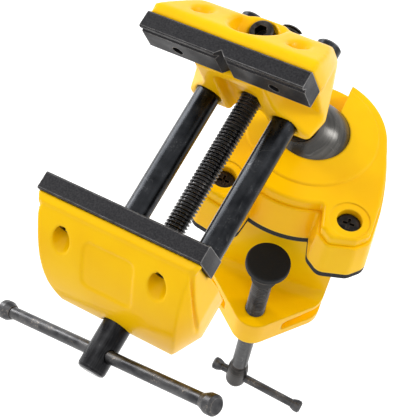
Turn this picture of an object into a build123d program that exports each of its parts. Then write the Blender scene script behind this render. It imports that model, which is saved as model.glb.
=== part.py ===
from build123d import *
import os
from math import cos, radians, sin, sqrt, tan

os.makedirs("parts", exist_ok=True)

# Multi-angle vise. Millimetres, +Z up. The origin is on the clamp screw's axis, at the underside of
# the upper grip pad, where a bench top would press. X runs along the bench edge, +Y towards the spine.

# Jaws and their plates
jaw_width = 75.0
jaw_opening = 69.0
plate_height = 15.3
plate_thickness = 7.5
plate_screw_spacing = 44.8
plate_screw_drop = 10.6
plate_screw_d = 4.8
plate_screw_head_d = 7.6
groove_drop = 3.0
groove_width = 2.5
groove_depth = 1.4
notch_width = 5.6
notch_depth = 2.6
plate_bevel = 0.5
plate_screw_length = 10.0
plate_screw_head = 4.0
plate_screw_socket_d = 4.0
screw_land = 4.0

# Guide rods and lead screw
rod_d = 11.0
rod_spacing = 37.0
drive_drop = 44.0
rod_tail = 40.2
rod_boss_d = 18.0
screw_d = 9.5
screw_core_d = 8.0
screw_boss_d = 12.0
screw_boss_end = 124.5
screw_tail = 42.0
main_bar_station = 116.0
nut_d = 16.0
nut_length = 20.0
nut_inset = 1.5
screw_neck_d = 7.6
thrust_station = 99.0
retainer_station = 78.0
retainer_width = 1.4
rod_front = 94.0
rod_pin_d = 4.0
rod_pin_station = 86.0
running_fit = 0.08
loose_fit = 0.3
thread_gap = 0.1
# How far a cutter runs so that it leaves every casting
past_all = 200.0

# Fixed jaw casting
casting_depth = 34.5
casting_bottom = 58.0
casting_half_top = 37.5
casting_half_waist = 33.0
casting_half_bottom = 29.5
casting_half_back = 25.5
waist_drop = 26.0
top_strip = 12.5
top_step = 1.2
slope_y = 28.0
slope_drop = 18.2
slope_foot_drop = 32.0
front_bottom = 53.5
front_draft = 12.0
neck_half = 19.5
neck_drop = 31.0
boss_half = 31.5
boss_top_drop = 46.0
block_front = 10.0
front_recess = 5.0
ledge_drop = 22.0
stem_top_d = 33.0
stem_bottom_d = 25.0
stem_bottom = 80.0
stem_y = 24.5
bolt_boss_r = 10.4
bolt_boss_drop = 21.5
bolt_boss_back_y = 31.0
bolt_head_d = 10.4
bolt_head_height = 6.5
bolt_d = 6.0
bolt_head_drop = 19.5
bolt_gap = 1.1
flank_draft = 15.0
plan_half_front = 29.0
plan_half_back = 21.5
bolt_socket = 5.8
bolt_socket_depth = 4.0

# Front jaw casting
under_plate_gap = 6.5
nose_out = 27.8
nose_drop = 43.5
nose_edge = 3.0
nose_bulge_out = 20.5
nose_bulge_drop = 20.2
foot_drop = 54.0
foot_front_out = 5.0
foot_half = 30.0
foot_back = 4.5
lip_out = 4.4
lip_drop = 3.4
lip_half = 37.5
apron_half = 36.0
apron_low_half = 33.5
face_top_half = 20.0
face_mid_half = 29.2
face_foot_half = 25.5
face_mid_drop = 27.0
flank_spread = 29.0
eye_d = 8.0
flank_groove_line = ((4.1, 2.0), (12.7, 18.7), (18.0, 37.0))
flank_groove = 1.6
panel_width = 24.0
panel_top = 7.0
panel_bottom = 23.5
panel_corner = 3.0
panel_depth = 0.7

# Ball joint
ball_r = 20.5
ball_drop = 120.0
post_d = 16.0
post_top = 57.0
ball_fit = 0.1
ball_axis_y = 41.3
ball_centre_z = 19.0
seat_wall = 2.5
seat_drop = 5.0
lean_angle = 23.2
lean_azimuth = 222.0
head_turn = 125.6

# Clamp frame
cap_top = 29.0
seam_z = 23.0
pad_thickness = 3.3
cap_back_r = 35.5
cap_half_width = 40.5
lug_front = 9.0
lug_inner = 19.0
front_arc_r = 40.5
body_proud = 1.2
frame_draft = 4.0
cap_screw_spacing = 59.2
cap_screw_head_d = 11.0
cap_screw_head_drop = 3.0
cap_screw_d = 6.0
cap_screw_head = 2.0
cap_screw_ring_d = 18.6
cap_screw_ring = 0.4
cap_screw_bite = 14.0
notch_half_width = 8.5
notch_floor = 18.0
cap_step_r = 31.5
cap_step = 0.8
arm_top = 72.0
arm_bottom = 89.5
arm_tip_r = 11.0
arm_half_width = 31.0
throat = 20.0
web_inset = 4.5
spine_back = 62.0

# Clamp screw, swivel pad and its bar
clamp_screw_d = 10.0
clamp_shank_d = 8.8
clamp_gap = 25.4
pad_brim_d = 22.0
pad_height = 15.6
pad_neck_d = 13.0
clamp_tip_d = 8.0
clamp_tip_neck_d = 6.0
clamp_thread_end = 100.0
clamp_head_d = 11.4
clamp_head_top = 133.0
clamp_bar_z = 147.5
clamp_head_round_z = 151.0

# Tommy bars
main_bar_d = 5.3
main_bar_knobs_apart = 123.0
main_knob_d = 8.3
main_knob_length = 7.0
main_bar_turn = -19.8
clamp_bar_d = 4.6
clamp_bar_knobs_apart = 49.3
clamp_knob_d = 7.0
clamp_knob_length = 5.6
clamp_bar_turn = -9.1
clamp_bar_shift = 12.9


# Frames of the head, worked out from the ball
ball_centre = Vector(0, ball_axis_y, ball_centre_z)
ball_flat_height = sqrt(ball_r**2 - (post_d / 2 + 1) ** 2)
lean = Location((0, 0, 0), (0, 0, lean_azimuth)) * Location((0, 0, 0), (0, lean_angle, 0))
turn = Location((0, 0, 0), (0, 0, head_turn))
head_frame = Location(ball_centre) * lean * turn * Location((0, -stem_y, ball_drop))
stem_frame = Location(ball_centre) * lean


def outline(*corners):
    """A closed flat shape. A corner is (a, b), or (a, b, r) where it is rounded."""
    shape = make_face(Polyline(*[c[:2] for c in corners], close=True))
    for c in corners:
        if len(c) == 3:
            shape = fillet(shape.vertices().sort_by_distance((c[0], c[1], 0))[0], c[2])
    return shape


def from_side(shape, width):
    """Extrude a (y, z) shape to both sides of x = 0."""
    return extrude(Plane.YZ * shape, width / 2, both=True)


def from_front(shape, y_start, y_end):
    """Extrude an (x, z) shape from y_start back to y_end."""
    plane = Plane((0, y_start, 0), x_dir=(1, 0, 0), z_dir=(0, -1, 0))
    return extrude(plane * shape, -(y_end - y_start))


def from_above(shape, z_low, z_high):
    """Extrude an (x, y) shape between two heights."""
    return extrude(Plane((0, 0, z_low)) * shape, z_high - z_low)


def rod_along_y(d, y_start, y_end, x=0, z=0):
    """A round bar whose axis runs along Y."""
    return Location((x, (y_start + y_end) / 2, z), (90, 0, 0)) * Cylinder(d / 2, y_end - y_start)


def rod_along_z(d, z_low, z_high, x=0, y=0):
    """A round bar whose axis is upright."""
    return Location((x, y, (z_low + z_high) / 2)) * Cylinder(d / 2, z_high - z_low)


def spun_z(*corners):
    """Turn an (r, z) outline round the Z axis."""
    return revolve(Plane.XZ * outline(*corners), Axis.Z)


def spun_y(y_axis_z, *corners):
    """Turn an (r, y) outline round the axis parallel to Y at that height."""
    face = Plane((0, 0, y_axis_z), x_dir=(1, 0, 0), z_dir=(0, 0, 1)) * outline(*corners)
    return revolve(face, Axis((0, 0, y_axis_z), (0, 1, 0)))


def box_between(low, high):
    """A box given by its lowest and highest corners."""
    size = [b - a for a, b in zip(low, high)]
    centre = [(a + b) / 2 for a, b in zip(low, high)]
    return Location(centre) * Box(*size)


# Jaw plates

def plate_screw_places():
    return [-plate_screw_spacing / 2, plate_screw_spacing / 2]


def plain_plate(y_start):
    """A hardened strip with two tapped holes, its top edges bevelled."""
    strip = box_between(
        (-jaw_width / 2, y_start, -plate_height), (jaw_width / 2, y_start + plate_thickness, 0)
    )
    strip = chamfer(strip.edges().filter_by(Axis.X).group_by(Axis.Z)[-1], plate_bevel)
    for x in plate_screw_places():
        strip -= rod_along_y(plate_screw_d, y_start - 1, y_start + plate_thickness + 1, x, -plate_screw_drop)
    return strip


def grooved_plate():
    """The fixed jaw's plate, with one level and one upright V groove for round stock."""
    plate = plain_plate(0)
    level = outline(
        (-1, -groove_drop + groove_width / 2 + 1),
        (groove_depth, -groove_drop),
        (-1, -groove_drop - groove_width / 2 - 1),
    )
    upright = outline((-notch_width / 2 - 1, -1), (0, notch_depth), (notch_width / 2 + 1, -1))
    plate -= from_side(level, jaw_width + 2)
    plate -= from_above(upright, -plate_height - 1, 1)
    return plate


def plate_screws(y_seat, inward):
    """Two cap screws that pull a plate against its casting. inward is +1 or -1 along Y."""
    screws = []
    for x in plate_screw_places():
        shank = rod_along_y(
            plate_screw_d - 2 * thread_gap,
            *sorted((y_seat, y_seat + inward * plate_screw_length)), x, -plate_screw_drop
        )
        head = rod_along_y(
            plate_screw_head_d, *sorted((y_seat, y_seat - inward * plate_screw_head)), x, -plate_screw_drop
        )
        socket = rod_along_y(
            plate_screw_socket_d,
            *sorted((y_seat - inward * plate_screw_head, y_seat - inward * plate_screw_head * 0.4)),
            x, -plate_screw_drop
        )
        screws.append(shank + head - socket)
    return Compound(children=screws)


# Fixed jaw

def fixed_jaw_block():
    """The main mass behind the grooved plate, as its side, front and top views leave it."""
    side = outline(
        (plate_thickness, -top_step),
        (top_strip, -top_step, 2),
        (slope_y, -slope_drop, 8),
        (casting_depth, -slope_foot_drop, 3),
        (casting_depth, -casting_bottom, 4),
        (block_front, -casting_bottom, 2),
        (block_front, -plate_height - 1.5, 1.5),
        (plate_thickness, -plate_height - 1.5),
    )
    front = outline(
        (-casting_half_top, 0),
        (casting_half_top, 0),
        (casting_half_top, -plate_height - 2, 3),
        (casting_half_waist, -waist_drop, 12),
        (casting_half_bottom, -casting_bottom, 7),
        (-casting_half_bottom, -casting_bottom, 7),
        (-casting_half_waist, -waist_drop, 12),
        (-casting_half_top, -plate_height - 2, 3),
    )
    middle_x = (casting_half_top + casting_half_back) / 2 + 2
    middle_y = (top_strip + casting_depth) / 2
    top = make_face(
        Curve() + [
            Polyline((-casting_half_top, top_strip), (-casting_half_top, -1),
                     (casting_half_top, -1), (casting_half_top, top_strip)),
            ThreePointArc((casting_half_top, top_strip), (middle_x, middle_y),
                          (casting_half_back, casting_depth)),
            Line((casting_half_back, casting_depth), (-casting_half_back, casting_depth)),
            ThreePointArc((-casting_half_back, casting_depth), (-middle_x, middle_y),
                          (-casting_half_top, top_strip)),
        ]
    )
    for side_x in (-casting_half_back, casting_half_back):
        top = fillet(top.vertices().sort_by_distance((side_x, casting_depth, 0))[0], 5)
    block = from_side(side, 2 * casting_half_top)
    block &= from_front(front, -1, casting_depth + 1)
    block &= from_above(top, -casting_bottom - 1, 1)
    foot = outline(
        (-plan_half_front, block_front),
        (plan_half_front, block_front),
        (plan_half_back, casting_depth, 5),
        (-plan_half_back, casting_depth, 5),
    )
    return block & extrude(Plane((0, 0, -casting_bottom)) * foot, casting_bottom, taper=-flank_draft)


def fixed_jaw_front():
    """The rod bosses and the neck over them, which stand out under the plate with draft."""
    half = outline(
        (-neck_half, 0),
        (neck_half, 0),
        (neck_half, -neck_drop, 8),
        (boss_half, -boss_top_drop, 3),
        (boss_half, -front_bottom - 1, 6),
        (-boss_half, -front_bottom - 1, 6),
        (-boss_half, -boss_top_drop, 3),
        (-neck_half, -neck_drop, 8),
    )
    root = Plane((0, block_front + 1, 0), x_dir=(1, 0, 0), z_dir=(0, -1, 0)) * half
    front = extrude(root, block_front + 1, taper=front_draft)
    front = fillet(front.edges().filter_by_position(Axis.Y, -0.1, 0.1), 1.5)
    front -= box_between((-jaw_width, -1, -plate_height), (jaw_width, 2 * block_front, 1))
    between = outline(
        (-rod_spacing / 2 + rod_boss_d / 2, -casting_bottom - 5),
        (-rod_spacing / 2 + rod_boss_d / 2, -ledge_drop, 4),
        (rod_spacing / 2 - rod_boss_d / 2, -ledge_drop, 4),
        (rod_spacing / 2 - rod_boss_d / 2, -casting_bottom - 5),
    )
    return front - from_front(between, -1, front_recess)


def bolt_boss():
    """The boss that the nut bolt stands in, cut off to the back of the casting."""
    side = outline(
        (0, -casting_bottom / 2),
        (0, -bolt_boss_drop),
        (bolt_boss_back_y, -bolt_boss_drop, 3),
        (casting_depth, -slope_foot_drop + 3, 2),
        (casting_depth, -drive_drop),
        (0, -drive_drop),
    )
    return rod_along_z(2 * bolt_boss_r, -drive_drop, 0, 0, stem_y) & from_side(side, 4 * bolt_boss_r)


def fixed_jaw():
    body = fixed_jaw_block() + fixed_jaw_front()
    # A round pocket behind the top strip leaves the bolt's head in the open
    body -= rod_along_z(2 * bolt_boss_r + 0.4, -bolt_boss_drop, 5, 0, stem_y)
    body += bolt_boss()
    # The counterbore and the hole for the nut bolt
    bolt_bottom = bolt_head_drop + bolt_head_height
    body -= rod_along_z(bolt_head_d + 2 * bolt_gap, -bolt_bottom, 1, 0, stem_y)
    body -= rod_along_z(bolt_d + 2 * thread_gap, -drive_drop, -bolt_bottom + 1, 0, stem_y)
    # The stem that holds the ball's post
    stem = spun_z(
        (0, -casting_bottom + 12),
        (stem_bottom_d / 2 - 2, -casting_bottom + 12),
        (stem_top_d / 2, -casting_bottom + 3, 4),
        (stem_bottom_d / 2, -stem_bottom, 2),
        (0, -stem_bottom),
    )
    body += Location((0, stem_y, 0)) * stem
    body -= rod_along_z(post_d + 2 * running_fit, -stem_bottom - 1, -post_top, 0, stem_y)
    # Bores for the rods, the screw and its nut
    for side in (-1, 1):
        x = side * rod_spacing / 2
        body -= rod_along_y(rod_d + 2 * running_fit, -5, casting_depth + 5, x, -drive_drop)
    body -= rod_along_y(screw_d + 2 * loose_fit, -5, casting_depth + 5, 0, -drive_drop)
    body -= rod_along_y(nut_d, casting_depth - nut_inset - nut_length, casting_depth + 5, 0, -drive_drop)
    # Recesses for the plate screws
    for x in plate_screw_places():
        body -= rod_along_y(plate_screw_d + 0.4, 0, 20, x, -plate_screw_drop)
        body -= rod_along_y(eye_d, plate_thickness + screw_land, casting_depth + 5, x, -plate_screw_drop)
    return body


def screw_nut():
    """A round nut pressed into the back of the fixed jaw and kept from turning by its bolt."""
    nut_start = casting_depth - nut_inset - nut_length
    nut = rod_along_y(nut_d, nut_start, nut_start + nut_length, 0, -drive_drop)
    nut -= rod_along_y(screw_d + 2 * running_fit, nut_start - 1, nut_start + nut_length + 1, 0, -drive_drop)
    nut -= rod_along_z(bolt_d + 2 * thread_gap, -drive_drop, -drive_drop + nut_d, 0, stem_y)
    return nut


def nut_bolt():
    """The hex socket bolt in the top of the fixed jaw."""
    head = rod_along_z(bolt_head_d, -bolt_head_drop - bolt_head_height, -bolt_head_drop, 0, stem_y)
    head = chamfer(head.edges().group_by(Axis.Z)[-1], 0.6)
    shank = rod_along_z(
        bolt_d, -drive_drop + screw_d / 2 + loose_fit + 0.2, -bolt_head_drop - bolt_head_height, 0, stem_y
    )
    socket = Plane((0, stem_y, -bolt_head_drop - bolt_socket_depth)) * RegularPolygon(bolt_socket / 2, 6)
    return head + shank - extrude(socket, bolt_socket_depth + 1)


# Front jaw

def nose_curve():
    """The swept front of the nose in the side view."""
    plate_back = -jaw_opening - plate_thickness
    return ThreePointArc(
        (plate_back - lip_out, -lip_drop),
        (plate_back - nose_bulge_out, -nose_bulge_drop),
        (plate_back - nose_out, -nose_drop),
    )


def nose_face():
    """The nose's bounds: a barrel-sided face in front that spreads out towards the plate."""
    top = nose_drop
    face = make_face(
        Curve() + [
            Line((-face_top_half, top), (face_top_half, top)),
            Line((face_top_half, top), (face_top_half, -lip_drop)),
            ThreePointArc((face_top_half, -lip_drop), (face_mid_half, -face_mid_drop),
                          (face_foot_half, -nose_drop - 3)),
            Line((face_foot_half, -nose_drop - 3), (-face_foot_half, -nose_drop - 3)),
            ThreePointArc((-face_foot_half, -nose_drop - 3), (-face_mid_half, -face_mid_drop),
                          (-face_top_half, -lip_drop)),
            Line((-face_top_half, -lip_drop), (-face_top_half, top)),
        ]
    )
    nose_y = -jaw_opening - plate_thickness - nose_out
    front = Plane((0, nose_y, 0), x_dir=(1, 0, 0), z_dir=(0, -1, 0)) * face
    return extrude(front, -(nose_out + plate_thickness + 10), taper=-flank_spread)


def front_jaw_block():
    """The apron in front of the plain plate: lip, swept nose and the foot under the rods."""
    under_plate = -jaw_opening - under_plate_gap
    plate_back = -jaw_opening - plate_thickness
    nose_y = plate_back - nose_out
    nose_heel = (nose_y + nose_edge, -nose_drop - nose_edge)
    foot_front = (plate_back - foot_front_out, -foot_drop)
    side = make_face(
        Curve() + [
            Polyline((under_plate, -plate_height), (plate_back, -plate_height), (plate_back, -top_step),
                     (plate_back - lip_out + 1, -top_step - 0.6), (plate_back - lip_out, -lip_drop)),
            nose_curve(),
            Polyline((nose_y, -nose_drop), nose_heel, foot_front,
                     (-jaw_opening - foot_back, -foot_drop), (-jaw_opening - foot_back, -drive_drop - 3),
                     (under_plate, -drive_drop), (under_plate, -plate_height)),
        ]
    )
    for corner, radius in (
        ((nose_y, -nose_drop), 1.2),
        (nose_heel, 4),
        (foot_front, 5),
        ((-jaw_opening - foot_back, -foot_drop), 1.5),
    ):
        side = fillet(side.vertices().sort_by_distance((*corner, 0))[0], radius)
    front = outline(
        (-lip_half, 0),
        (lip_half, 0),
        (lip_half, -lip_drop),
        (apron_half, -lip_drop - 1.5),
        (apron_half, -nose_bulge_drop - 10, 8),
        (apron_low_half, -nose_drop + 1, 9),
        (foot_half, -foot_drop, 6),
        (-foot_half, -foot_drop, 6),
        (-apron_low_half, -nose_drop + 1, 9),
        (-apron_half, -nose_bulge_drop - 10, 8),
        (-apron_half, -lip_drop - 1.5),
        (-lip_half, -lip_drop),
    )
    block = from_side(side, 2 * lip_half)
    return block & from_front(front, nose_y - 1, under_plate + 1)


def flank_groove_cut():
    """The thin curved groove that runs down each flank behind the nose."""
    plate_back = -jaw_opening - plate_thickness
    near = ThreePointArc(*[(plate_back - out, -drop) for out, drop in flank_groove_line])
    far = ThreePointArc(*[(plate_back - out + flank_groove, -drop) for out, drop in flank_groove_line])
    strip = make_face(Curve() + [near, Line(near @ 1, far @ 1), far, Line(far @ 0, near @ 0)])
    inside = apron_half - flank_groove
    return from_side(strip, 2 * jaw_width) - box_between((-inside, -past_all, -past_all), (inside, 0, past_all))


def front_panel():
    """The shallow rounded panel in the nose, cut to an even depth below the swept face."""
    middle = (panel_top + panel_bottom) / 2
    shape = Location((0, -middle)) * RectangleRounded(panel_width, panel_bottom - panel_top, panel_corner)
    plate_back = -jaw_opening - plate_thickness
    through = from_front(shape, plate_back - nose_out - 1, plate_back - 2)
    sunk = Location((0, panel_depth * 0.8, -panel_depth * 0.6)) * front_jaw_block()
    return through - sunk


def front_jaw():
    body = (front_jaw_block() & nose_face()) - flank_groove_cut() - front_panel()
    plate_back = -jaw_opening - plate_thickness
    body -= rod_along_y(screw_neck_d + 2 * running_fit, -past_all, 0, 0, -drive_drop)
    body -= rod_along_y(screw_boss_d + 2 * loose_fit, -past_all, -thrust_station, 0, -drive_drop)
    body -= rod_along_y(screw_d + 2, -retainer_station, 0, 0, -drive_drop)
    for side in (-1, 1):
        body -= rod_along_y(rod_d, -rod_front, 0, side * rod_spacing / 2, -drive_drop)
        body -= rod_along_z(rod_pin_d, -foot_drop - 5, -drive_drop, side * rod_spacing / 2, -rod_pin_station)
    for x in plate_screw_places():
        body -= rod_along_y(plate_screw_d + 0.4, plate_back - 12, 0, x, -plate_screw_drop)
        body -= rod_along_y(eye_d, -past_all, plate_back - screw_land, x, -plate_screw_drop)
    return body


def guide_rods():
    """Two ground rods, fixed in the front jaw and sliding through the fixed jaw."""
    rods = []
    for side in (-1, 1):
        rod = rod_along_y(rod_d, -rod_front, rod_tail, side * rod_spacing / 2, -drive_drop)
        rod = chamfer(rod.edges().group_by(Axis.Y)[-1], 0.8)
        rod -= rod_along_z(rod_pin_d, -foot_drop, -drive_drop, side * rod_spacing / 2, -rod_pin_station)
        rods.append(rod)
    return Compound(children=rods)


def rod_pins():
    """The pins, driven up from below, that lock the rods in the front jaw."""
    pins = []
    for side in (-1, 1):
        pins.append(
            rod_along_z(rod_pin_d, -foot_drop + 1.5, -drive_drop, side * rod_spacing / 2, -rod_pin_station)
        )
    return Compound(children=pins)


# Lead screw

def lead_screw():
    """The screw with its plain neck and the cross-drilled boss at its front end."""
    screw = spun_y(
        -drive_drop,
        (0, -screw_boss_end),
        (screw_boss_d / 2, -screw_boss_end, 1.6),
        (screw_boss_d / 2, -thrust_station),
        (screw_neck_d / 2, -thrust_station),
        (screw_neck_d / 2, -retainer_station + retainer_width),
        (screw_core_d / 2, -retainer_station + retainer_width),
        (screw_core_d / 2, -retainer_station + retainer_width + 0.5),
        (screw_d / 2, -retainer_station + retainer_width + 1.2),
        (screw_d / 2, screw_tail - 1),
        (screw_core_d / 2, screw_tail),
        (0, screw_tail),
    )
    return screw - main_bar_bore()


def main_bar_place():
    return Location((0, -main_bar_station, -drive_drop)) * Location((0, 0, 0), (0, main_bar_turn, 0))


def main_bar_bore():
    hole = Location((0, 0, 0), (0, 90, 0)) * Cylinder(main_bar_d / 2 + loose_fit, 4 * screw_boss_d)
    return main_bar_place() * hole


def screw_retainer():
    """The clip behind the front jaw that draws it back with the screw."""
    ring = rod_along_y(
        screw_neck_d + 3, -retainer_station + 0.1, -retainer_station + retainer_width - 0.1, 0, -drive_drop
    )
    hole = rod_along_y(
        screw_neck_d, -retainer_station - 1, -retainer_station + retainer_width + 1, 0, -drive_drop
    )
    gap = box_between(
        (-1.5, -retainer_station - 1, -drive_drop - 8), (1.5, -retainer_station + 3, -drive_drop)
    )
    return ring - hole - gap


# Tommy bars, both built along X about the middle of the bar

def bar(d, knobs_apart, knob_length):
    return Location((0, 0, 0), (0, 90, 0)) * Cylinder(d / 2, knobs_apart - knob_length)


def bar_knobs(d, knobs_apart, knob_d, knob_length):
    """The two swaged ends: each flares from the bar and ends in a small bevel."""
    inner = (knobs_apart - knob_length) / 2
    shape = outline(
        (inner, 0),
        (inner, d / 2 + 0.3),
        (inner + knob_length * 0.45, knob_d / 2, 1.2),
        (inner + knob_length * 0.86, knob_d / 2, 0.5),
        (inner + knob_length, knob_d / 2 - 1),
        (inner + knob_length, 0),
    )
    knob = revolve(shape, Axis.X)
    return Compound(children=[knob, mirror(knob, Plane.YZ)])


# Ball joint, on the stem's axis with the ball's centre at the origin

def ball_post():
    """The ball and the post that stands on it, one turned piece."""
    ball = Sphere(ball_r) - box_between((-ball_r, -ball_r, ball_flat_height), (ball_r, ball_r, 2 * ball_r))
    post = spun_z(
        (0, 0),
        (post_d / 2, 0),
        (post_d / 2, ball_drop - post_top - 1.0),
        (post_d / 2 - 1, ball_drop - post_top - 0.3),
        (0, ball_drop - post_top - 0.3),
    )
    return ball + post


def ball_seat():
    """The cup under the ball, cut off below the ball's equator, on the ball's centre."""
    outer = ball_r + ball_fit + seat_wall
    cup = Sphere(outer) - Sphere(ball_r + ball_fit)
    cup -= box_between((-40, -40, -seat_drop), (40, 40, 40))
    cup -= rod_along_z(12, -40, 0)
    return cup


# Clamp frame

def cap_outline():
    """The plan of the ball cap: two lugs in front, a round back about the ball's axis."""
    arc_x = 16.5
    arc_y = ball_axis_y - sqrt(front_arc_r**2 - arc_x**2)
    shoulder = (cap_back_r * cos(radians(8)), ball_axis_y + cap_back_r * sin(radians(8)))
    back = (0, ball_axis_y + cap_back_r)
    diagonal = (cap_back_r * cos(radians(55)), ball_axis_y + cap_back_r * sin(radians(55)))

    def half(side):
        return [
            ThreePointArc((0, ball_axis_y - front_arc_r), (side * arc_x / 2,
                          ball_axis_y - sqrt(front_arc_r**2 - arc_x**2 / 4)), (side * arc_x, arc_y)),
            Polyline((side * arc_x, arc_y), (side * lug_inner, -lug_front + 1),
                     (side * (lug_inner + 5), -lug_front - 3),
                     (side * (cap_half_width - 5), -lug_front), (side * cap_half_width, -lug_front + 5),
                     (side * cap_half_width, 14)),
            ThreePointArc((side * cap_half_width, 14), (side * (cap_half_width - 2), 31),
                          (side * shoulder[0], shoulder[1])),
            ThreePointArc((side * shoulder[0], shoulder[1]), (side * diagonal[0], diagonal[1]), back),
        ]

    return make_face(Curve() + half(1) + half(-1))


def rounded_cap_outline(grow=0.0):
    shape = cap_outline()
    for side in (-1, 1):
        for x, y, r in (
            (16.5, ball_axis_y - sqrt(front_arc_r**2 - 16.5**2), 1.5),
            (lug_inner, -lug_front + 1, 2),
            (lug_inner + 5, -lug_front - 3, 3),
            (cap_half_width - 5, -lug_front, 3),
            (cap_half_width, -lug_front + 5, 4),
        ):
            shape = fillet(shape.vertices().sort_by_distance((side * x, y, 0))[0], r)
    if grow:
        shape = offset(shape, grow, kind=Kind.INTERSECTION)
    return shape


def socket_notch(z_low):
    """The gap at the back of the cap that the post drops into when the head is leaned right back."""
    sides = outline(
        (-notch_half_width, ball_axis_y),
        (notch_half_width, ball_axis_y),
        (notch_half_width + 2.3, ball_axis_y + cap_back_r + 2),
        (-notch_half_width - 2.3, ball_axis_y + cap_back_r + 2),
    )
    return from_above(sides, z_low, cap_top + 20)


def screw_places():
    return [(-cap_screw_spacing / 2, 0), (cap_screw_spacing / 2, 0)]


def ball_cap():
    """The upper casting: it holds the ball down by a spherical socket."""
    cap = from_above(rounded_cap_outline(), seam_z, cap_top)
    cap = fillet(cap.edges().group_by(Axis.Z)[-1], 1.5)
    step = rod_along_z(2 * cap_step_r, cap_top - 1, cap_top + cap_step, 0, ball_axis_y)
    step = chamfer(step.edges().group_by(Axis.Z)[-1], cap_step - 0.2)
    cap += step
    cap -= Location((0, ball_axis_y, ball_centre_z)) * Sphere(ball_r + ball_fit)
    cap -= socket_notch(seam_z - 1)
    for x, y in screw_places():
        seat = cap_top - cap_screw_head_drop - cap_screw_head
        cap -= rod_along_z(cap_screw_head_d + 0.6, seat, cap_top + 5, x, y)
        cap -= rod_along_z(cap_screw_ring_d, cap_top - cap_screw_ring, cap_top + 5, x, y)
        cap -= rod_along_z(cap_screw_d + 0.4, seam_z - 1, cap_top, x, y)
    return cap


def cap_screws():
    screws = []
    for x, y in screw_places():
        head_top = cap_top - cap_screw_head_drop
        head = rod_along_z(cap_screw_head_d, head_top - cap_screw_head, head_top, x, y)
        head = fillet(head.edges().group_by(Axis.Z)[-1], 0.8)
        shank = rod_along_z(cap_screw_d, seam_z - cap_screw_bite, head_top - cap_screw_head, x, y)
        cross = Box(cap_screw_head_d * 0.5, 1.3, 3) + Box(1.3, cap_screw_head_d * 0.5, 3)
        screws.append(head + shank - Location((x, y, head_top)) * cross)
    return Compound(children=screws)


def arm_outline(inset=0.0):
    """The plan of the lower arm: a round tip that flares to the full width of the spine."""
    flare = arm_tip_r * sin(radians(45))
    reach = arm_half_width - flare
    shape = make_face(
        Curve() + [
            ThreePointArc((flare, -flare), (0, -arm_tip_r), (-flare, -flare)),
            Polyline((-flare, -flare), (-arm_half_width, -flare + reach), (-arm_half_width, spine_back),
                     (arm_half_width, spine_back), (arm_half_width, -flare + reach), (flare, -flare)),
        ]
    )
    for x in (-arm_half_width, arm_half_width):
        shape = fillet(shape.vertices().sort_by_distance((x, -flare + reach, 0))[0], 12)
    if inset:
        shape = offset(shape, -inset, kind=Kind.INTERSECTION)
    return shape


def clamp_spine():
    """The spine and the lower arm, one curved form with a long hollow in each flank."""
    side = outline(
        (throat + 14, seam_z - 2),
        (throat, seam_z - 2),
        (throat, -arm_top, 7),
        (-arm_tip_r - 1, -arm_top),
        (-arm_tip_r - 1, -arm_bottom),
        (throat + 6, -arm_bottom, 16),
        (spine_back - 12, -arm_top + 24, 20),
        (spine_back, -6, 14),
        (spine_back, seam_z - 2),
    )
    spine = from_side(side, 2 * arm_half_width)
    spine &= from_above(arm_outline(), -arm_bottom - 1, seam_z)
    # The hollows leave a web with a rim, as a cast C frame has
    hollow = outline(
        (throat + 5, -4, 3),
        (throat + 5, -arm_top - 1, 5),
        (0, -arm_top - 5, 2),
        (0, -arm_bottom + 5, 2),
        (throat + 5, -arm_bottom + 5, 10),
        (spine_back - 16, -arm_top + 24, 16),
        (spine_back - 6, -4, 3),
    )
    shell = from_side(hollow, 3 * arm_half_width)
    shell -= from_above(arm_outline(web_inset), -arm_bottom - 1, seam_z)
    return spine - shell


def clamp_frame():
    """The C-shaped casting: upper jaw under the cap, spine, and lower arm with the tapped boss."""
    height = seam_z - pad_thickness
    foot = rounded_cap_outline(body_proud + height * tan(radians(frame_draft)))
    upper = extrude(Plane((0, 0, pad_thickness)) * foot, height, taper=frame_draft)
    upper = fillet(upper.edges().group_by(Axis.Z)[-1], 0.8)
    body = upper + clamp_spine()
    body -= Location((0, ball_axis_y, ball_centre_z)) * Sphere(ball_r + ball_fit + seat_wall + 0.05)
    body -= rod_along_z(clamp_screw_d + 2 * running_fit, -arm_bottom - 1, -arm_top + 1)
    for x, y in screw_places():
        body -= rod_along_z(cap_screw_d, seam_z - cap_screw_bite, seam_z + 1, x, y)
    body -= socket_notch(notch_floor)
    return body


def grip_pad():
    """The rubber sheet under the upper jaw, the shape of the casting it is bonded to."""
    grow = body_proud + (seam_z - pad_thickness) * tan(radians(frame_draft))
    pad = extrude(rounded_cap_outline(grow), pad_thickness)
    pad -= box_between((-60, throat - 0.5, -1), (60, 100, pad_thickness + 1))
    return pad


# Clamp screw, built at its place on the Z axis

def swivel_pad():
    top = -clamp_gap
    pad = spun_z(
        (0, top),
        (pad_brim_d / 2, top, 1),
        (pad_brim_d / 2, top - 3.5, 1),
        (pad_neck_d / 2 + 1.2, top - pad_height * 0.62, 3),
        (pad_neck_d / 2, top - pad_height),
        (0, top - pad_height),
    )
    socket = spun_z(
        (0, top - 4),
        (clamp_tip_d / 2 + running_fit, top - 4),
        (clamp_tip_d / 2 + running_fit, top - 8),
        (clamp_tip_neck_d / 2 + running_fit, top - 8),
        (clamp_tip_neck_d / 2 + running_fit, top - pad_height - 1),
        (0, top - pad_height - 1),
    )
    return pad - socket


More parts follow.
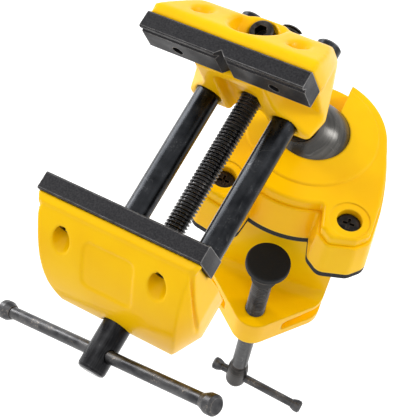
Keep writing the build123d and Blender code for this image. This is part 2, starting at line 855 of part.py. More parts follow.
def clamp_screw():
    top = -clamp_gap
    screw = spun_z(
        (0, top - 4 - running_fit),
        (clamp_tip_d / 2, top - 4 - running_fit),
        (clamp_tip_d / 2, top - 8 + running_fit),
        (clamp_tip_neck_d / 2, top - 8 + running_fit),
        (clamp_tip_neck_d / 2, top - pad_height - 0.3),
        (clamp_screw_d / 2 - 0.8, top - pad_height - 0.3),
        (clamp_screw_d / 2, top - pad_height - 1.5),
        (clamp_screw_d / 2, -clamp_thread_end),
        (clamp_shank_d / 2, -clamp_thread_end - 0.6),
        (clamp_shank_d / 2, -clamp_head_top),
        (clamp_head_d / 2, -clamp_head_top - 8, 2),
        (clamp_head_d / 2, -clamp_head_round_z),
        (0, -clamp_head_round_z),
    )
    screw += Location((0, 0, -clamp_head_round_z)) * Sphere(clamp_head_d / 2)
    return screw - clamp_bar_place() * Location((0, 0, 0), (0, 90, 0)) * Cylinder(
        clamp_bar_d / 2 + loose_fit, 4 * clamp_head_d
    )


def clamp_bar_place():
    return Location((0, 0, -clamp_bar_z)) * Location((0, 0, 0), (0, 0, clamp_bar_turn))


clamp_bar_spot = clamp_bar_place() * Location((clamp_bar_shift, 0, 0))
nodes = {
    "clamp_frame": clamp_frame(),
    "ball_cap": ball_cap(),
    "cap_screws": cap_screws(),
    "grip_pad": grip_pad(),
    "ball_seat": Location(ball_centre) * ball_seat(),
    "ball_post": stem_frame * ball_post(),
    "fixed_jaw": head_frame * fixed_jaw(),
    "fixed_jaw_plate": head_frame * grooved_plate(),
    "fixed_plate_screws": head_frame * plate_screws(plate_thickness + screw_land, -1),
    "screw_nut": head_frame * screw_nut(),
    "nut_bolt": head_frame * nut_bolt(),
    "front_jaw": head_frame * front_jaw(),
    "front_jaw_plate": head_frame * plain_plate(-jaw_opening - plate_thickness),
    "front_plate_screws": head_frame * plate_screws(-jaw_opening - plate_thickness - screw_land, 1),
    "guide_rods": head_frame * guide_rods(),
    "rod_pins": head_frame * rod_pins(),
    "lead_screw": head_frame * lead_screw(),
    "screw_retainer": head_frame * screw_retainer(),
    "main_bar": head_frame * main_bar_place() * bar(main_bar_d, main_bar_knobs_apart, main_knob_length),
    "main_bar_knobs": head_frame * main_bar_place()
    * bar_knobs(main_bar_d, main_bar_knobs_apart, main_knob_d, main_knob_length),
    "swivel_pad": swivel_pad(),
    "clamp_screw": clamp_screw(),
    "clamp_bar": clamp_bar_spot * bar(clamp_bar_d, clamp_bar_knobs_apart, clamp_knob_length),
    "clamp_bar_knobs": clamp_bar_spot
    * bar_knobs(clamp_bar_d, clamp_bar_knobs_apart, clamp_knob_d, clamp_knob_length),
}
for name, shape in nodes.items():
    export_step(shape, f"parts/{name}.step")
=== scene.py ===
# %% [markdown]
# # A multi-angle vise
# The vise was first built as solids, one per real piece. This lesson dresses those solids: it gives
# every piece a finish, it makes the two threaded screws, because a thread is only a plain cylinder in
# the solids, and it rounds the edges of the two jaw castings. Loading the solids comes first.

from math import cos, pi, radians, sin

import bmesh
import bpy
from mathutils import Euler, Matrix, Vector


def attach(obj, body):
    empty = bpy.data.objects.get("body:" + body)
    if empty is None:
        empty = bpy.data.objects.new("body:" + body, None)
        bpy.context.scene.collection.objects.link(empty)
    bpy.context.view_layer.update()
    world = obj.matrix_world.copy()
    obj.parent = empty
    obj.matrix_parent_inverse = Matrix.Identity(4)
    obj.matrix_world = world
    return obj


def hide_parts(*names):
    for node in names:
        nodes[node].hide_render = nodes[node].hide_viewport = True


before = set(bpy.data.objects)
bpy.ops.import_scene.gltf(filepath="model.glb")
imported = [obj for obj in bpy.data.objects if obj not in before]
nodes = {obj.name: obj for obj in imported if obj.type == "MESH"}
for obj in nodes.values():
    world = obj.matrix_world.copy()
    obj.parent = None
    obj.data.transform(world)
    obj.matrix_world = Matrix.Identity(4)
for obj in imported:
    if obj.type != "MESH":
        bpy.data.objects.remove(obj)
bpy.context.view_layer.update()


def in_mm(corners):
    return [[round(v * 1000, 1) for v in corner] for corner in corners]


# %% [markdown]
# ## Where the head stands
# The head leans on its ball and is turned about its own stem. Everything on the head is easier to
# build level, with x across the jaws, y along the guide rods and z up. One matrix then puts it in
# place: turn, lean about the ball, and lift to the ball's height.

# %% The head's own frame
mm = 0.001
ball_centre = Vector((0, 41.3, 19.0)) * mm
lean_axis_turn = radians(222.0)
lean_angle = radians(23.2)
head_turn = radians(125.6)
stem_y = 24.5 * mm
ball_drop = 120.0 * mm

stem_place = (
    Matrix.Translation(ball_centre)
    @ Matrix.Rotation(lean_axis_turn, 4, "Z")
    @ Matrix.Rotation(lean_angle, 4, "Y")
)
head_place = stem_place @ Matrix.Rotation(head_turn, 4, "Z") @ Matrix.Translation((0, -stem_y, ball_drop))
print("head origin in mm:", in_mm([head_place.translation]))

# %% [markdown]
# ## Effects that several finishes share
# Wear shows where two faces meet, and so does the highlight on a round edge. A bevel shader bends the
# normal near an edge, so comparing it with the plain normal gives a mask that is bright only at edges.
# Noise breaks the mask up, as real handling does. The group holds no colours, so paint and steel can
# both use it: some finishes paint wear with it, and some a painted highlight along their edges.

# %% Edge wear and painted highlight group


def new_group(name, inputs, outputs):
    group = bpy.data.node_groups.new(name, "ShaderNodeTree")
    for label, kind, value in inputs:
        socket = group.interface.new_socket(name=label, in_out="INPUT", socket_type=kind)
        socket.default_value = value
    for label, kind in outputs:
        group.interface.new_socket(name=label, in_out="OUTPUT", socket_type=kind)
    return group, group.nodes.new("NodeGroupInput"), group.nodes.new("NodeGroupOutput")


def add(tree, kind, **settings):
    node = tree.nodes.new(kind)
    for key, value in settings.items():
        setattr(node, key, value)
    return node


def maths(tree, operation, first, second=None, clamp=False):
    node = add(tree, "ShaderNodeMath", operation=operation, use_clamp=clamp)
    for socket, value in zip(node.inputs, (first, second)):
        if value is None:
            continue
        if isinstance(value, (int, float)):
            socket.default_value = value
        else:
            tree.links.new(value, socket)
    return node.outputs[0]


bevel_samples = 6
edge_gain = 9.0
mask_break, mask_shift = 1.6, -0.25

edge_wear_and_highlight, edge_mask_in, edge_mask_out = new_group(
    "edge_wear_and_highlight",
    [
        ("Width", "NodeSocketFloat", 0.0005),
        ("Amount", "NodeSocketFloat", 1.0),
        ("Grain", "NodeSocketFloat", 600.0),
    ],
    [("Mask", "NodeSocketFloat")],
)
coords = add(edge_wear_and_highlight, "ShaderNodeTexCoord")
bevelled = add(edge_wear_and_highlight, "ShaderNodeBevel", samples=bevel_samples)
plain = add(edge_wear_and_highlight, "ShaderNodeNewGeometry")
dot = add(edge_wear_and_highlight, "ShaderNodeVectorMath", operation="DOT_PRODUCT")
grain = add(edge_wear_and_highlight, "ShaderNodeTexNoise")
grain.inputs["Detail"].default_value = 4
edge_wear_and_highlight.links.new(edge_mask_in.outputs["Width"], bevelled.inputs["Radius"])
edge_wear_and_highlight.links.new(bevelled.outputs["Normal"], dot.inputs[0])
edge_wear_and_highlight.links.new(plain.outputs["Normal"], dot.inputs[1])
edge_wear_and_highlight.links.new(coords.outputs["Object"], grain.inputs["Vector"])
edge_wear_and_highlight.links.new(edge_mask_in.outputs["Grain"], grain.inputs["Scale"])
edge = maths(edge_wear_and_highlight, "SUBTRACT", 1.0, dot.outputs["Value"])
edge = maths(edge_wear_and_highlight, "MULTIPLY", edge, edge_gain, clamp=True)
broken = maths(edge_wear_and_highlight, "MULTIPLY_ADD", grain.outputs["Fac"], mask_break)
broken.node.inputs[2].default_value = mask_shift
edge = maths(edge_wear_and_highlight, "MULTIPLY", edge, broken, clamp=True)
edge = maths(edge_wear_and_highlight, "MULTIPLY", edge, edge_mask_in.outputs["Amount"], clamp=True)
edge_wear_and_highlight.links.new(edge, edge_mask_out.inputs["Mask"])
print("group:", edge_wear_and_highlight.name, "sockets:", [s.name for s in edge_wear_and_highlight.interface.items_tree])

# %% [markdown]
# Every cast, painted or machined face is a little uneven. One group gives two layers of noise: broad
# patches, for colour and gloss that change slowly, and fine grain, for the bump. Finishes differ only
# in the two scales.

# %% Patches and grain group
surface_grain, grain_in, grain_out = new_group(
    "surface_grain",
    [("Patch scale", "NodeSocketFloat", 40.0), ("Grain scale", "NodeSocketFloat", 900.0)],
    [("Patches", "NodeSocketFloat"), ("Grain", "NodeSocketFloat")],
)
coords = add(surface_grain, "ShaderNodeTexCoord")
for label, source, detail in (("Patches", "Patch scale", 3), ("Grain", "Grain scale", 5)):
    noise = add(surface_grain, "ShaderNodeTexNoise")
    noise.inputs["Detail"].default_value = detail
    surface_grain.links.new(coords.outputs["Object"], noise.inputs["Vector"])
    surface_grain.links.new(grain_in.outputs[source], noise.inputs["Scale"])
    surface_grain.links.new(noise.outputs["Fac"], grain_out.inputs[label])
print("group:", surface_grain.name)

# %% [markdown]
# Turned and drawn bars carry fine lines. Around a bar they run crosswise when it was turned on a
# lathe, and along it when it was drawn. Noise that is stretched in one direction makes both: the
# stretch is the only difference. The three factors stretch it along x, y and z of the piece.

# %% Machining lines group
machined_lines, lines_in, lines_out = new_group(
    "machined_lines",
    [("Vector", "NodeSocketVector", (0, 0, 0)), ("Stretch", "NodeSocketVector", (50.0, 50.0, 4000.0))],
    [("Lines", "NodeSocketFloat")],
)
stretched = add(machined_lines, "ShaderNodeVectorMath", operation="MULTIPLY")
noise = add(machined_lines, "ShaderNodeTexNoise")
noise.inputs["Scale"].default_value = 1
noise.inputs["Detail"].default_value = 3
machined_lines.links.new(lines_in.outputs["Vector"], stretched.inputs[0])
machined_lines.links.new(lines_in.outputs["Stretch"], stretched.inputs[1])
machined_lines.links.new(stretched.outputs[0], noise.inputs["Vector"])
machined_lines.links.new(noise.outputs["Fac"], lines_out.inputs["Lines"])
print("group:", machined_lines.name)

# %% [markdown]
# Handled steel has hairline scratches. The places where a noise field crosses one value are thin
# curved lines, so the distance from that value makes hairlines, and a second noise leaves only short
# lengths of them.

# %% Scratches group
hairline_sharpness = 110.0
length_gain = 6.0

scratches, scratch_in, scratch_out = new_group(
    "scratches",
    [("Scale", "NodeSocketFloat", 60.0), ("Amount", "NodeSocketFloat", 1.0)],
    [("Mask", "NodeSocketFloat")],
)
coords = add(scratches, "ShaderNodeTexCoord")
field = add(scratches, "ShaderNodeTexNoise")
field.inputs["Detail"].default_value = 1
field.inputs["Distortion"].default_value = 0.3
patch = add(scratches, "ShaderNodeTexNoise")
patch.inputs["Scale"].default_value = 130
for noise in (field, patch):
    scratches.links.new(coords.outputs["Object"], noise.inputs["Vector"])
scratches.links.new(scratch_in.outputs["Scale"], field.inputs["Scale"])
away = maths(scratches, "ABSOLUTE", maths(scratches, "SUBTRACT", field.outputs["Fac"], 0.5))
line = maths(scratches, "SUBTRACT", 1.0, maths(scratches, "MULTIPLY", away, hairline_sharpness), clamp=True)
over_half = maths(scratches, "SUBTRACT", patch.outputs["Fac"], 0.5, clamp=True)
kept = maths(scratches, "MULTIPLY", over_half, length_gain, clamp=True)
line = maths(scratches, "MULTIPLY", line, kept, clamp=True)
line = maths(scratches, "MULTIPLY", line, scratch_in.outputs["Amount"], clamp=True)
scratches.links.new(line, scratch_out.inputs["Mask"])
print("group:", scratches.name)

# %% [markdown]
# ## Finishes
# Each finish is one material. A small helper starts it: it makes the material, empties it, and hands
# back the shader to feed. A second helper mixes two colours by a mask, because every finish does that.

# %% Material helpers


def new_material(name, roughness, metallic=0.0, coat=0.0, specular=0.5):
    material = bpy.data.materials.new(name)
    material.use_nodes = True
    tree = material.node_tree
    tree.nodes.clear()
    shader = add(tree, "ShaderNodeBsdfPrincipled")
    shader.inputs["Roughness"].default_value = roughness
    shader.inputs["Metallic"].default_value = metallic
    shader.inputs["Coat Weight"].default_value = coat
    shader.inputs["Specular IOR Level"].default_value = specular
    output = add(tree, "ShaderNodeOutputMaterial")
    tree.links.new(shader.outputs["BSDF"], output.inputs["Surface"])
    return material, tree, shader


def place_group(tree, group, **values):
    node = add(tree, "ShaderNodeGroup", node_tree=group)
    for label, value in values.items():
        node.inputs[label.replace("_", " ")].default_value = value
    return node


def mixed(tree, mask, first, second):
    """The first colour where the mask is zero and the second where it is one."""
    # The mix node keeps its two colour inputs at 6 and 7 and its colour output at 2.
    node = add(tree, "ShaderNodeMix", data_type="RGBA")
    for socket, colour in ((node.inputs[6], first), (node.inputs[7], second)):
        if isinstance(colour, tuple):
            socket.default_value = (*colour, 1)
        else:
            tree.links.new(colour, socket)
    tree.links.new(mask, node.inputs[0])
    return node.outputs[2]


def spread(tree, value, low, high, span=(0.0, 1.0)):
    """Stretch the part of a value that lies in the span to low to high."""
    node = add(tree, "ShaderNodeMapRange")
    node.inputs["From Min"].default_value, node.inputs["From Max"].default_value = span
    node.inputs["To Min"].default_value = low
    node.inputs["To Max"].default_value = high
    tree.links.new(value, node.inputs["Value"])
    return node.outputs["Result"]


def bump(tree, shader, height, strength, distance, rounding=None):
    """Feed a height to the shader's normal. Rounding is the radius that softens sharp edges."""
    node = add(tree, "ShaderNodeBump")
    node.inputs["Strength"].default_value = strength
    node.inputs["Distance"].default_value = distance
    tree.links.new(height, node.inputs["Height"])
    if rounding:
        soft = add(tree, "ShaderNodeBevel", samples=bevel_samples)
        soft.inputs["Radius"].default_value = rounding
        tree.links.new(soft.outputs["Normal"], node.inputs["Normal"])
    tree.links.new(node.outputs["Normal"], shader.inputs["Normal"])


print("helpers ready")

# %% [markdown]
# The castings are sprayed with glossy yellow enamel, and its film has a faint orange-peel texture.
# Along the edges the yellow is a little lighter, as a painted highlight where the round edges catch the
# light. Cast edges are round, so the bevel shader softens them by about one and a half millimetres.
# The gloss is kept low, because a strong white sheen would wash the yellow out.

# %% Yellow enamel
yellow_enamel, tree, shader = new_material("yellow_enamel", 0.34, coat=0.16, specular=0.05)
shader.inputs["Coat Roughness"].default_value = 0.16
grain = place_group(tree, surface_grain, Patch_scale=35.0, Grain_scale=420.0)
wear_and_highlight = place_group(tree, edge_wear_and_highlight, Width=0.0012, Amount=0.5, Grain=260.0)
patches = spread(tree, grain.outputs["Patches"], 0.0, 1.0, span=(0.35, 0.65))
body_colour = mixed(tree, patches, (0.95, 0.515, 0.0003), (0.99, 0.580, 0.0004))
# The lighter yellow along the edges is a painted highlight.
colour = mixed(tree, wear_and_highlight.outputs["Mask"], body_colour, (1.0, 0.68, 0.03))
tree.links.new(colour, shader.inputs["Base Color"])
tree.links.new(spread(tree, grain.outputs["Grain"], 0.26, 0.42), shader.inputs["Roughness"])
bump(tree, shader, grain.outputs["Grain"], 0.25, 0.00010, rounding=0.0014)
print("finish:", yellow_enamel.name)

# %% [markdown]
# The jaw plates are steel with a black oxide skin over a blasted surface, so they are speckled as fine
# as sand. The skin is thin, and bare steel shines through on every edge and along the groove. The edge
# mask mixes the two in colour.

# %% Black oxide steel
black_oxide, tree, shader = new_material("black_oxide_steel", 0.5, metallic=0.85, specular=0.4)
grain = place_group(tree, surface_grain, Patch_scale=90.0, Grain_scale=1500.0)
wear_and_highlight = place_group(tree, edge_wear_and_highlight, Width=0.0006, Amount=1.0, Grain=420.0)
speckle = spread(tree, grain.outputs["Grain"], 0.0, 1.0, span=(0.34, 0.66))
skin = mixed(tree, speckle, (0.017, 0.017, 0.019), (0.036, 0.035, 0.037))
colour = mixed(tree, wear_and_highlight.outputs["Mask"], skin, (0.42, 0.41, 0.40))
tree.links.new(colour, shader.inputs["Base Color"])
dullness = spread(tree, grain.outputs["Patches"], 0.36, 0.60, span=(0.3, 0.7))
tree.links.new(dullness, shader.inputs["Roughness"])
bump(tree, shader, grain.outputs["Grain"], 0.22, 0.00008, rounding=0.0003)
print("finish:", black_oxide.name)

# %% [markdown]
# Rods, bars and screws are all dark, oiled steel. They differ in how their lines run, how dark they
# are and how much they shine, so one function makes each of them, and the piece's own axis says which
# way the lines go. Handling rubs the skin away in warm, lighter patches, in hairlines and on edges.
# On the threads' crests and the fasteners' rims, the lighter edge colour is a painted highlight.

# %% Dark steels


def steel(
    name, dark, light, roughness, turn=(0, 0, 0), stretch=(120.0, 120.0, 2500.0), worn_and_highlight=(0.45, 0.44, 0.43),
    wear_and_highlight_amount=0.6, wear_and_highlight_width=0.0005, scratch_amount=0.3, speck_amount=0.3, patch_scale=160.0,
    rounding=0.0002,
):
    material, tree, shader = new_material(name, roughness[0], metallic=1.0)
    coords = add(tree, "ShaderNodeTexCoord")
    mapping = add(tree, "ShaderNodeMapping", vector_type="TEXTURE")
    mapping.inputs["Rotation"].default_value = turn
    tree.links.new(coords.outputs["Object"], mapping.inputs["Vector"])
    lines = place_group(tree, machined_lines, Stretch=stretch)
    tree.links.new(mapping.outputs["Vector"], lines.inputs["Vector"])
    grain = place_group(tree, surface_grain, Patch_scale=patch_scale, Grain_scale=1500.0)
    wear_and_highlight = place_group(tree, edge_wear_and_highlight, Width=wear_and_highlight_width, Amount=wear_and_highlight_amount, Grain=500.0)
    hairlines = place_group(tree, scratches, Scale=90.0, Amount=scratch_amount)
    blotches = maths(tree, "ADD", grain.outputs["Patches"], lines.outputs["Lines"])
    body = mixed(tree, spread(tree, blotches, 0.0, 1.0, span=(0.75, 1.25)), dark, light)
    bright_grain = spread(tree, grain.outputs["Grain"], 0.0, 0.8, span=(0.54, 0.66))
    bright_patches = spread(tree, grain.outputs["Patches"], 0.0, 1.0, span=(0.56, 0.66))
    specks = maths(tree, "MULTIPLY", bright_grain, bright_patches)
    rubbed_and_highlit = maths(tree, "MAXIMUM", wear_and_highlight.outputs["Mask"], hairlines.outputs["Mask"])
    rubbed_and_highlit = maths(tree, "MAXIMUM", rubbed_and_highlit, maths(tree, "MULTIPLY", specks, speck_amount))
    # The edge part of this mask is wear on most steels, but a painted highlight on the threads' crests and
    # the fasteners' rims.
    colour = mixed(tree, rubbed_and_highlit, body, worn_and_highlight)
    tree.links.new(colour, shader.inputs["Base Color"])
    dullness = spread(tree, grain.outputs["Patches"], *roughness, span=(0.3, 0.7))
    tree.links.new(dullness, shader.inputs["Roughness"])
    bump(tree, shader, lines.outputs["Lines"], 0.2, 0.00006, rounding=rounding)
    return material


head_angles = head_place.to_euler()
stem_angles = stem_place.to_euler()
rod_steel = steel(
    "rod_steel", (0.014, 0.015, 0.017), (0.036, 0.038, 0.042), (0.22, 0.34), turn=head_angles,
    stretch=(260.0, 25.0, 260.0), scratch_amount=0.1, speck_amount=0.15,
)
bar_steel = steel(
    "bar_steel", (0.038, 0.038, 0.041), (0.105, 0.104, 0.106), (0.30, 0.50), turn=head_angles,
    stretch=(60.0, 300.0, 300.0), worn_and_highlight=(0.36, 0.31, 0.26), speck_amount=0.8,
)
ball_steel = steel(
    "ball_steel", (0.060, 0.058, 0.055), (0.125, 0.120, 0.112), (0.20, 0.40), turn=stem_angles,
    stretch=(20.0, 20.0, 900.0), wear_and_highlight_amount=0.2, scratch_amount=0.35, speck_amount=0.1,
    patch_scale=90.0,
)
# The bright crests of the lead screw's thread are a painted highlight, drawn by the edge mask.
screw_steel = steel(
    "screw_steel", (0.011, 0.011, 0.012), (0.038, 0.038, 0.040), (0.22, 0.40), turn=head_angles,
    wear_and_highlight_amount=0.7, wear_and_highlight_width=0.00018, scratch_amount=0.0, speck_amount=0.9, patch_scale=110.0,
)
# The bright crests of the clamp thread are a painted highlight, drawn by the edge mask.
clamp_steel = steel(
    "clamp_steel", (0.030, 0.030, 0.032), (0.072, 0.071, 0.071), (0.28, 0.45), wear_and_highlight_width=0.0002,
)
plain_steel = steel("plain_steel", (0.30, 0.30, 0.30), (0.42, 0.42, 0.42), (0.3, 0.42))
# The brownish rims of the fastener heads are a painted highlight, drawn by the edge mask.
fastener_steel = steel(
    "fastener_steel", (0.013, 0.012, 0.011), (0.048, 0.043, 0.040), (0.32, 0.5), worn_and_highlight=(0.16, 0.11, 0.07),
    wear_and_highlight_amount=0.7, patch_scale=300.0,
)
steels = (rod_steel, bar_steel, ball_steel, screw_steel, clamp_steel, plain_steel, fastener_steel)
print("steels:", [m.name for m in steels])

# %% [markdown]
# The grip pad and the swivel pad are black moulded rubber: dark, matt and faintly rough, greyer where
# it has been rubbed.

# %% Black rubber
black_rubber, tree, shader = new_material("black_rubber", 0.7, specular=0.2)
grain = place_group(tree, surface_grain, Patch_scale=50.0, Grain_scale=1100.0)
wear_and_highlight = place_group(tree, edge_wear_and_highlight, Width=0.0008, Amount=0.6, Grain=300.0)
body_colour = mixed(tree, grain.outputs["Patches"], (0.008, 0.008, 0.008), (0.018, 0.018, 0.018))
colour = mixed(tree, wear_and_highlight.outputs["Mask"], body_colour, (0.07, 0.07, 0.07))
tree.links.new(colour, shader.inputs["Base Color"])
tree.links.new(spread(tree, grain.outputs["Grain"], 0.55, 0.85), shader.inputs["Roughness"])
bump(tree, shader, grain.outputs["Grain"], 0.35, 0.0001, rounding=0.0004)
print("finish:", black_rubber.name)

# %% [markdown]
# ## Finishes on the solids
# The solids keep their shape, so dressing them is only a matter of giving each its finish. A list of
# pairs keeps that in one place.

# %% Dress the solids
finish_of = {
    yellow_enamel: ("clamp_frame", "ball_cap", "fixed_jaw", "front_jaw"),
    black_oxide: ("fixed_jaw_plate", "front_jaw_plate"),
    rod_steel: ("guide_rods",),
    bar_steel: ("main_bar", "main_bar_knobs", "clamp_bar", "clamp_bar_knobs"),
    ball_steel: ("ball_post",),
    screw_steel: ("lead_screw",),
    clamp_steel: ("clamp_screw",),
    fastener_steel: ("cap_screws", "nut_bolt", "fixed_plate_screws", "front_plate_screws"),
    plain_steel: ("ball_seat", "screw_nut", "screw_retainer", "rod_pins"),
    black_rubber: ("grip_pad", "swivel_pad"),
}
for finish, names in finish_of.items():
    for name in names:
        mesh = nodes[name].data
        mesh.materials.clear()
        mesh.materials.append(finish)
print("dressed:", sum(len(names) for names in finish_of.values()), "of", len(nodes))

# %% [markdown]
# ## Threaded screws
# A thread is one tooth's outline carried round the bar while it climbs one pitch each turn. Spin with
# a step along the axis does just that. The outline is one pitch long, so each turn's lower edge meets
# the last turn's upper edge, and merging them closes the skin.

# %% Helix and turned pieces


def finished(name, bm, place, material):
    """Turn a bmesh into a piece whose place is in its mesh."""
    bmesh.ops.transform(bm, matrix=place, verts=bm.verts)
    bmesh.ops.recalc_face_normals(bm, faces=bm.faces)
    mesh = bpy.data.meshes.new(name)
    bm.to_mesh(mesh)
    bm.free()
    mesh.materials.append(material)
    piece = bpy.data.objects.new(name, mesh)
    bpy.context.scene.collection.objects.link(piece)
    return piece


def kept_shape(piece):
    """Make what the live modifiers show the piece's own mesh."""
    bpy.context.view_layer.update()
    solid = bpy.data.meshes.new_from_object(piece.evaluated_get(bpy.context.evaluated_depsgraph_get()))
    piece.modifiers.clear()
    old, piece.data = piece.data, solid
    bpy.data.meshes.remove(old)


def outline_edges(bm, points):
    """A chain of edges through (radius, height) points in the xz plane."""
    verts = [bm.verts.new((r * mm, 0, z * mm)) for r, z in points]
    return verts + [bm.edges.new(pair) for pair in zip(verts, verts[1:])]


def turned(bm, points, segments=48):
    """A closed solid turned round the z axis from an outline that starts and ends on the axis."""
    bmesh.ops.spin(
        bm, geom=outline_edges(bm, points), cent=(0, 0, 0), axis=(0, 0, 1), angle=2 * pi,
        steps=segments, use_merge=True, dvec=(0, 0, 0),
    )
    bmesh.ops.remove_doubles(bm, verts=bm.verts, dist=1e-7)


def threaded(bm, root_r, crest_r, pitch, start, turns, segments=28):
    """A screw thread round the z axis that climbs from start, closed at both ends."""
    # Radius and height of the tooth's corners, with the height in parts of the pitch.
    tooth = [(root_r, 0), (root_r, 0.12), (crest_r, 0.42), (crest_r, 0.62), (root_r, 0.92), (root_r, 1.0)]
    geom = outline_edges(bm, [(r, start + h * pitch) for r, h in tooth])
    bmesh.ops.spin(
        bm, geom=geom, cent=(0, 0, 0), axis=(0, 0, 1), angle=2 * pi * turns, steps=segments * turns,
        use_merge=False, dvec=(0, 0, pitch * mm / segments),
    )
    bmesh.ops.remove_doubles(bm, verts=bm.verts, dist=2e-6)
    rims = [e for e in bm.edges if e.is_boundary]
    bmesh.ops.holes_fill(bm, edges=rims, sides=0)


print("helpers ready")

# %% [markdown]
# The lead screw has a plain neck where it runs in the front jaw, and a boss that the main bar passes
# through. Thread and boss are made as two closed skins of one piece, the boss's cross hole is cut by a
# boolean, and the whole lies along the head's y axis.

# %% Lead screw
drive_drop = 44.0
screw_boss_r = 6.0
screw_boss_end = 124.5
thrust_station = 99.0
neck_r = 3.8
thread_start = 76.0
screw_tail = 42.0
screw_pitch = 1.5875
screw_crest_r = 4.72
screw_root_r = 3.85
main_bar_station = 116.0
main_bar_turn = -19.8
main_bar_hole_r = 2.95
boss_round, boss_chamfer = 1.6, 0.5
thread_overlap = 0.6
cutter_length = 30.0


def cross_hole(piece, name, radius, place, material):
    """Cut a round hole across a piece and keep the result as the piece's mesh."""
    bm = bmesh.new()
    bmesh.ops.create_cone(
        bm, cap_ends=True, segments=32, radius1=radius * mm, radius2=radius * mm, depth=cutter_length * mm
    )
    cutter = finished(name, bm, place, material)
    cut = piece.modifiers.new("cut", "BOOLEAN")
    cut.object = cutter
    cut.solver = "EXACT"
    kept_shape(piece)
    bpy.data.objects.remove(cutter)


along_y = Matrix.Translation((0, 0, -drive_drop * mm)) @ Matrix.Rotation(-pi / 2, 4, "X")
bm = bmesh.new()
turned(bm, [
    (0, -screw_boss_end), (screw_boss_r - boss_round, -screw_boss_end),
    (screw_boss_r - boss_chamfer, -screw_boss_end + boss_chamfer),
    (screw_boss_r, -screw_boss_end + boss_round), (screw_boss_r, -thrust_station), (neck_r, -thrust_station),
    (neck_r, -thread_start - thread_overlap), (0, -thread_start - thread_overlap),
])
lead_screw = finished("lead_screw_turned", bm, head_place @ along_y, screw_steel)
bar_place = (
    head_place @ Matrix.Translation((0, -main_bar_station * mm, -drive_drop * mm))
    @ Matrix.Rotation(radians(main_bar_turn), 4, "Y") @ Matrix.Rotation(pi / 2, 4, "Y")
)
cross_hole(lead_screw, "bar_hole", main_bar_hole_r, bar_place, screw_steel)
bm = bmesh.new()
turns = int((thread_start + screw_tail - 1) / screw_pitch)
threaded(bm, screw_root_r, screw_crest_r, screw_pitch, -thread_start, turns)
lead_thread = finished("lead_screw_thread", bm, head_place @ along_y, screw_steel)
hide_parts("lead_screw")
for piece in (lead_screw, lead_thread):
    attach(piece, "screw")
print("lead screw: turns", turns, "faces", len(lead_thread.data.polygons))
print("its boss: faces", len(lead_screw.data.polygons))

# %% [markdown]
# The clamp screw stands upright under the swivel pad. Its thread is finer than the lead screw's, with a
# painted highlight along its crests, the shank below it is plain, and its round black head has the clamp
# bar's cross hole.
# The same two helpers make it: one thread, and one turned skin for the tip, shank and head.

# %% Clamp screw
clamp_tip_top = 29.45
clamp_tip_foot = 33.35
clamp_tip_r = 4.0
clamp_core_r = 3.0
clamp_thread_top = 41.5
clamp_thread_end = 100.0
clamp_pitch = 1.5
clamp_crest_r = 4.98
clamp_root_r = 4.15
shank_r = 4.4
clamp_head_r = 5.7
clamp_head_top = 133.0
clamp_head_round_z = 151.0
clamp_bar_z = 147.5
clamp_bar_turn = -9.1
clamp_bar_hole_r = 2.6
shank_end = clamp_head_top + 1
shoulder_drop = 8

bm = bmesh.new()
turned(bm, [
    (0, -clamp_tip_top), (clamp_tip_r, -clamp_tip_top), (clamp_tip_r, -clamp_tip_foot),
    (clamp_core_r, -clamp_tip_foot), (clamp_core_r, thread_overlap - clamp_thread_end),
    (shank_r, thread_overlap - clamp_thread_end), (shank_r, -shank_end), (0, -shank_end),
])
clamp_shank = finished("clamp_screw_shank", bm, Matrix.Identity(4), clamp_steel)

bm = bmesh.new()
swell = clamp_head_r - shank_r
shoulder = [
    (shank_r + swell * sin(pi / 2 * t), -clamp_head_top - shoulder_drop * t) for t in (0, 0.25, 0.5, 0.75, 1)
]
dome = [
    (clamp_head_r * cos(a), -clamp_head_round_z - clamp_head_r * sin(a))
    for a in (radians(step) for step in range(0, 90, 15))
]
turned(bm, [(0, -clamp_head_top), *shoulder, *dome, (0, -clamp_head_round_z - clamp_head_r)])
clamp_head = finished("clamp_screw_head", bm, Matrix.Identity(4), fastener_steel)
bar_place = (
    Matrix.Translation((0, 0, -clamp_bar_z * mm)) @ Matrix.Rotation(radians(clamp_bar_turn), 4, "Z")
    @ Matrix.Rotation(pi / 2, 4, "Y")
)
cross_hole(clamp_head, "clamp_bar_hole", clamp_bar_hole_r, bar_place, fastener_steel)

bm = bmesh.new()
turns = int((clamp_thread_end - clamp_thread_top) / clamp_pitch) - 1
threaded(bm, clamp_root_r, clamp_crest_r, clamp_pitch, -clamp_thread_end, turns)
clamp_thread = finished("clamp_screw_thread", bm, Matrix.Identity(4), clamp_steel)
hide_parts("clamp_screw")
for piece in (clamp_shank, clamp_head, clamp_thread):
    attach(piece, "clamp_spindle")
print("clamp screw: turns", turns, "faces", len(clamp_thread.data.polygons))

# %% [markdown]
# ## Cast edges
# The two jaws are sand castings, and no edge of a casting is sharp. Their solids have crisp edges, so
# each jaw gets a stand-in: a copy of the solid is given a new skin of small even faces, and smoothing
# that skin rounds every edge by about the same amount, as foundry sand does. The new skin is closed by
# its nature, and only the loose triangles of the copy have to be merged first. The fixed jaw is the
# rounder of the two in the photograph; the front jaw has a finer skin, to keep its panel and grooves.
# Smoothing has a price: it narrows the bores and fills their inner corners a little, and the pieces
# that sit in them then overlap the castings by up to 0.35 mm. The solids themselves don't overlap.

# %% Rounded jaws


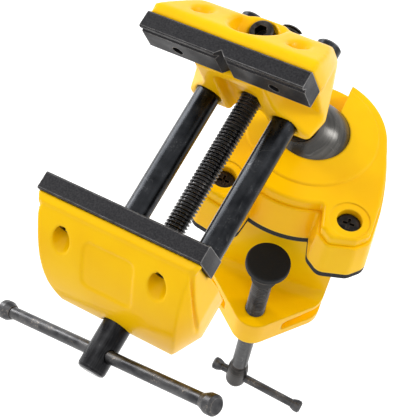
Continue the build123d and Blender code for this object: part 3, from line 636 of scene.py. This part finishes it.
def rounded_casting(name, body, face_size, passes):
    bm = bmesh.new()
    bm.from_mesh(nodes[name].data)
    bmesh.ops.remove_doubles(bm, verts=bm.verts, dist=1e-6)
    piece = finished(name + "_casting", bm, Matrix.Identity(4), yellow_enamel)
    skin = piece.modifiers.new("skin", "REMESH")
    skin.mode = "VOXEL"
    skin.voxel_size = face_size * mm
    rub = piece.modifiers.new("rub", "SMOOTH")
    rub.factor = 0.5
    rub.iterations = passes
    kept_shape(piece)
    for face in piece.data.polygons:
        face.use_smooth = True
    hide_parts(name)
    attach(piece, body)
    return piece


castings = (
    rounded_casting("fixed_jaw", "head", face_size=0.7, passes=24),
    rounded_casting("front_jaw", "slide_jaw", face_size=0.5, passes=5),
)
for casting in castings:
    print(casting.name, "faces:", len(casting.data.polygons))

# %% [markdown]
# ## Camera
# The photograph was taken from above and in front. The lens and place were worked out from straight
# and round edges in it, so that the render lies over the photograph.

# %% Camera
lens_data = bpy.data.cameras.new("camera")
lens_data.sensor_width = 36
lens_data.lens = 108.07
lens_data.clip_start = 0.01
lens_data.clip_end = 20
camera = bpy.data.objects.new("camera", lens_data)
camera.location = Vector((22.71, -325.29, 486.96)) * mm
camera.rotation_euler = Euler([radians(a) for a in (33.670, -6.249, 19.007)])
bpy.context.scene.collection.objects.link(camera)
bpy.context.scene.camera = camera
print("camera lens in mm:", lens_data.lens)

# %% [markdown]
# ## Light, floor and background
# A catalogue picture is lit by large soft lamps in a white room. The world gives that room's even
# light, and is plain white to the camera, to metal and to glass.

# %% World
world = bpy.data.worlds.new("studio")
bpy.context.scene.world = world
world.use_nodes = True
tree = world.node_tree
tree.nodes.clear()


def seen_white(tree):
    """One for a ray that should see the plain white background, and zero for a ray that lights."""
    path = add(tree, "ShaderNodeLightPath")
    mirrored = maths(tree, "MAXIMUM", path.outputs["Is Glossy Ray"], path.outputs["Is Transmission Ray"])
    return maths(tree, "MAXIMUM", path.outputs["Is Camera Ray"], mirrored)


room_light = 0.78
light = add(tree, "ShaderNodeBackground")
light.inputs["Color"].default_value = (1, 1, 1, 1)
tree.links.new(spread(tree, seen_white(tree), room_light, 1.0), light.inputs["Strength"])
output = add(tree, "ShaderNodeOutputWorld")
tree.links.new(light.outputs["Background"], output.inputs["Surface"])
print("room light:", room_light)

# %% [markdown]
# The floor is white paper. A little light of its own, for the same rays, lifts it to the white of the
# background, and the vise's shadow stays on it.

# %% Floor
floor_height = -0.32
floor_glow = 0.34
bm = bmesh.new()
bmesh.ops.create_grid(bm, x_segments=1, y_segments=1, size=4.0)
floor_paint = bpy.data.materials.new("floor_paint")
floor_paint.use_nodes = True
tree = floor_paint.node_tree
paper = tree.nodes["Principled BSDF"]
paper.inputs["Base Color"].default_value = (0.9, 0.9, 0.9, 1)
paper.inputs["Roughness"].default_value = 0.9
paper.inputs["Specular IOR Level"].default_value = 0.1
paper.inputs["Emission Color"].default_value = (1, 1, 1, 1)
tree.links.new(spread(tree, seen_white(tree), 0.0, floor_glow), paper.inputs["Emission Strength"])
floor = finished("floor", bm, Matrix.Translation((0, 0, floor_height)), floor_paint)
print("floor at m:", floor_height)

# %% [markdown]
# Two tall soft lamps stand at the sides, as for any catalogue picture of metal: they draw the long
# highlights on the rods and the bright spot on the ball. A small one in front lifts the front jaw and
# draws the rim of its panel. All are kept weak, so that a colour renders about as it is written.

# %% Lamps


def lamp(name, place, target, size, power):
    """A rectangular lamp that faces its target, with sizes in metres and power in watts."""
    data = bpy.data.lights.new(name, "AREA")
    data.shape = "RECTANGLE"
    data.size, data.size_y = size
    data.energy = power
    thing = bpy.data.objects.new(name, data)
    thing.location = place
    aim = Vector(target) - Vector(place)
    thing.rotation_euler = aim.to_track_quat("-Z", "Y").to_euler()
    bpy.context.scene.collection.objects.link(thing)


lamp("right", (1.05, 0.42, 0.98), (0, 0, 0.02), (0.35, 0.8), 8)
lamp("left", (-1.3, 0.5, 0.4), (0, 0, 0.05), (0.35, 1.0), 11)
lamp("front", (-0.75, -0.6, 1.25), (0, 0, 0.02), (0.5, 0.5), 3)

# %% Colour view
bpy.context.scene.view_settings.view_transform = "Standard"
